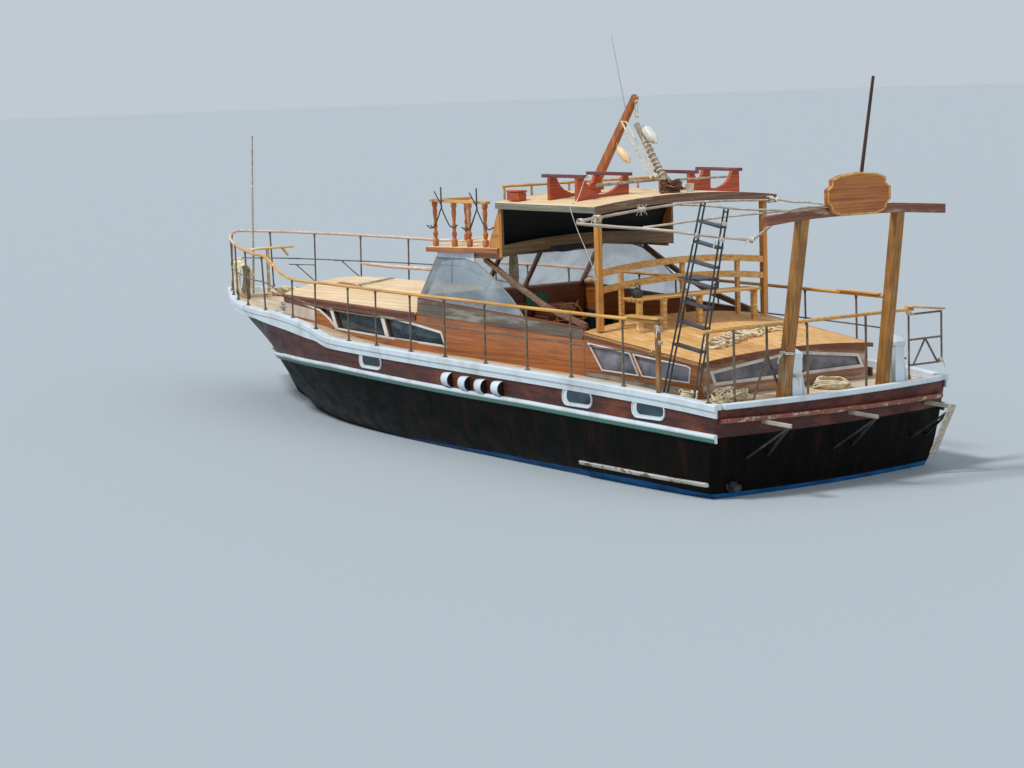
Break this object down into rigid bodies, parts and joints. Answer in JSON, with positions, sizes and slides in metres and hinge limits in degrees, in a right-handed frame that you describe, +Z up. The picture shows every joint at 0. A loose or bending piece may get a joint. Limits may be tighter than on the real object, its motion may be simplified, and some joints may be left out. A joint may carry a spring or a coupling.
{
  "type": "trawler style wooden motor boat",
  "caption": "Old wooden motor boat with fore and aft cabins, open wheelhouse and raised roof, rails, stern gantry, mast, propeller and rudder.",
  "frame": {"origin": "amidships on the centreline at the level the boat floats to", "axes": "+X to the bow, +Y to port, +Z up"},
  "size_m": [16.9, 4.4572, 7.0721],
  "materials": {
    "hull_planking": "old oiled and varnished mahogany planking, dark and weathered",
    "white_painted_wood": "old white oil paint on wood, worn",
    "varnished_wood": "golden brown varnish, sun worn",
    "red_stained_wood": "red brown wood stain",
    "deck_planks": "pale scrubbed planks",
    "weathered_wood": "bare grey wood",
    "window_glass": "dusty blue grey window glass",
    "galvanised_steel": "dark painted steel",
    "bronze": "dull bronze",
    "engine_iron": "painted cast iron block",
    "rope": "laid natural fibre rope"
  },
  "bodies": {
    "boat": {"hull_bottom": "hull_planking", "hull_topsides": "hull_planking", "engine_block": "engine_iron", "cockpit_sole": "deck_planks", "helm_console": "varnished_wood", "gunwale_strake": "white_painted_wood", "rub_rail_port": "white_painted_wood", "rub_rail_starboard": "white_painted_wood", "spray_rail_port": "weathered_wood", "spray_rail_starboard": "weathered_wood", "transom_cap": "white_painted_wood", "transom_batten": "weathered_wood", "house_side_port": "varnished_wood", "house_side_starboard": "varnished_wood", "fore_glass_port": "window_glass", "fore_glass_starboard": "window_glass", "fore_cabin_front": "varnished_wood", "fore_cabin_top": "deck_planks", "aft_cabin_side_port": "varnished_wood", "aft_cabin_side_starboard": "varnished_wood", "aft_cabin_top": "deck_planks", "aft_cabin_back": "varnished_wood", "aft_cabin_front": "varnished_wood", "windshield_frame": "varnished_wood", "windshield_glass": "window_glass", "side_glass_port": "window_glass", "side_glass_starboard": "window_glass", "lower_roof": "deck_planks", "roof_front_panel": "varnished_wood", "upper_roof": "deck_planks", "brace_port": "varnished_wood", "brace_starboard": "varnished_wood", "roof_post_port": "varnished_wood", "roof_post_starboard": "varnished_wood", "bench_back": "varnished_wood", "bench_seat": "deck_planks", "balustrade_port": "varnished_wood", "balustrade_starboard": "varnished_wood", "mast": "red_stained_wood", "boom_step": "galvanised_steel", "cradle_port": "red_stained_wood", "cradle_starboard": "red_stained_wood", "roof_rail": "varnished_wood", "guard_rail_port": "varnished_wood", "guard_rail_starboard": "varnished_wood", "stern_rail": "varnished_wood", "stern_gantry": "varnished_wood", "name_board": "varnished_wood", "bollard_port": "white_painted_wood", "bollard_starboard": "white_painted_wood", "ladder": "galvanised_steel", "awning_poles": "weathered_wood", "bow_pole": "weathered_wood", "coil_quarterdeck": "rope", "rope_heap_quarter": "rope"},
    "propeller": {"propeller": "bronze"},
    "rudder": {"rudder": "galvanised_steel"},
    "helm_wheel": {"steering_wheel": "varnished_wood"},
    "door": {"companion_door": "varnished_wood"},
    "boom": {"boom": "weathered_wood"}
  },
  "joints": [
    {"name": "propeller_shaft", "type": "hinge", "parent": "boat", "child": "propeller", "pos_m": [-6.4, 0, -0.78], "axis": [1, 0, 0], "continuous": true},
    {"name": "rudder_stock", "type": "hinge", "parent": "boat", "child": "rudder", "pos_m": [-6.72, 0, -0.78], "axis": [0, 0, 1], "range_deg": [-35, 35]},
    {"name": "steering", "type": "hinge", "parent": "boat", "child": "helm_wheel", "pos_m": [-1.23, -0.78, 1.64], "axis": [1, 0, 0], "range_deg": [-540, 540]},
    {"name": "door_hinge", "type": "hinge", "parent": "boat", "child": "door", "pos_m": [-0.665, 0.34, 1.37], "axis": [0, 0, -1], "range_deg": [0, 100]},
    {"name": "boom_hinge", "type": "hinge", "parent": "boat", "child": "boom", "pos_m": [-4.61, 0, 3.85], "axis": [0, -1, 0], "range_deg": [0, 70]}
  ],
  "couplings": [
    {"joint": "steering", "follows": "rudder_stock", "ratio": 15.4}
  ]
}
